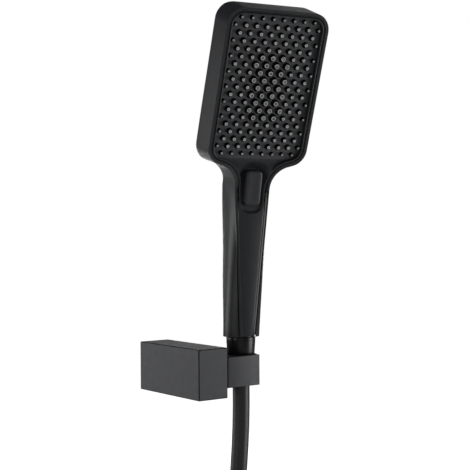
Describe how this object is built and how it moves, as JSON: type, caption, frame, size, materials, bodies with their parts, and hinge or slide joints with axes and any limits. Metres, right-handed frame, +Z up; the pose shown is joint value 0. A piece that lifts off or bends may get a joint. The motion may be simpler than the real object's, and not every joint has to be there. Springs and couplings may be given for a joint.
{
  "type": "handheld shower head",
  "caption": "Handheld shower head with a rectangular spray face and push button, parked in a tilting wall holder, with its smooth hose coiled.",
  "frame": {"origin": "middle of the bracket's wall face, on the wall", "axes": "+Y into the wall, -Y into the room, +X along the holder arm, +Z up"},
  "size_m": [0.1984, 0.1568, 0.5613],
  "materials": {
    "cover_black": "matte black coat",
    "arm_black": "matte black coat",
    "steel": "plain",
    "white_plastic": "moulded",
    "black_plastic": "moulded",
    "nut_black": "satin",
    "hose_black": "smooth satin hose",
    "strap_black": "hook and loop",
    "brass": "turned",
    "rubber_black": "plain",
    "regulator_green": "moulded",
    "shell_black": "satin black coat",
    "frame_black": "satin black coat",
    "face_grey": "fine moulded",
    "silicone_grey": "soft silicone",
    "inner_plastic": "moulded",
    "button_black": "satin",
    "wheel_orange": "moulded"
  },
  "bodies": {
    "bracket": {"wall_plate": "steel", "bracket_cover": "cover_black", "grub_screw": "steel", "pivot_bush": "white_plastic"},
    "holder": {"holder_arm": "arm_black", "holder_liner": "black_plastic", "pivot_washer": "white_plastic", "wave_washer": "steel", "pivot_screw": "steel"},
    "hose": {"hose_ferrule": "brass", "hose_tube": "hose_black", "hose_coil": "hose_black", "hose_tail": "hose_black", "coil_ties": "strap_black", "supply_ferrule": "brass", "supply_washer": "rubber_black"},
    "supply": {"supply_nut": "nut_black"},
    "handset": {"cone_nut": "nut_black", "nut_washer": "rubber_black", "inlet_stub": "nut_black", "flow_regulator": "regulator_green", "back_shell": "shell_black", "water_tube": "inner_plastic", "selector_housing": "inner_plastic", "stem_seal": "rubber_black", "feed_elbow": "inner_plastic", "distributor": "inner_plastic", "chamber_gasket": "rubber_black", "manifold_plate": "inner_plastic", "manifold_screws": "steel", "rain_mat": "silicone_grey", "massage_mat": "silicone_grey", "spray_plate": "face_grey", "front_frame": "frame_black"},
    "button": {"button_cap": "button_black", "button_spring": "steel"},
    "selector": {"selector_wheel": "wheel_orange"}
  },
  "joints": [
    {"name": "holder_tilt", "type": "hinge", "parent": "bracket", "child": "holder", "pos_m": [0.014, -0.0725, 0], "axis": [1, 0, 0], "range_deg": [-15, 15]},
    {"name": "handset_lift", "type": "slide", "parent": "holder", "child": "hose", "axis": [0, 0, 1], "range_m": [0, 0.05]},
    {"name": "handset_swivel", "type": "hinge", "parent": "hose", "child": "handset", "pos_m": [0.0385, -0.0725, 0.01], "axis": [0, 0, 1], "continuous": true},
    {"name": "supply_nut_turn", "type": "hinge", "parent": "hose", "child": "supply", "pos_m": [0.0305, -0.1374, -0.2645], "axis": [0, 0, 1], "continuous": true},
    {"name": "button_press", "type": "slide", "parent": "handset", "child": "button", "axis": [0.21, 0.9473, 0.2419], "range_m": [0, 0.0025], "stiffness_N_per_m": 800, "springref_m": -0.001, "deforming": ["button_spring"]},
    {"name": "selector_turn", "type": "hinge", "parent": "handset", "child": "selector", "pos_m": [0.03622, -0.08278, 0.15135], "axis": [0.21, 0.9473, 0.2419], "range_deg": [0, 60.5]}
  ],
  "couplings": [
    {"joint": "selector_turn", "follows": "button_press", "rad_per_m": 418.88}
  ]
}
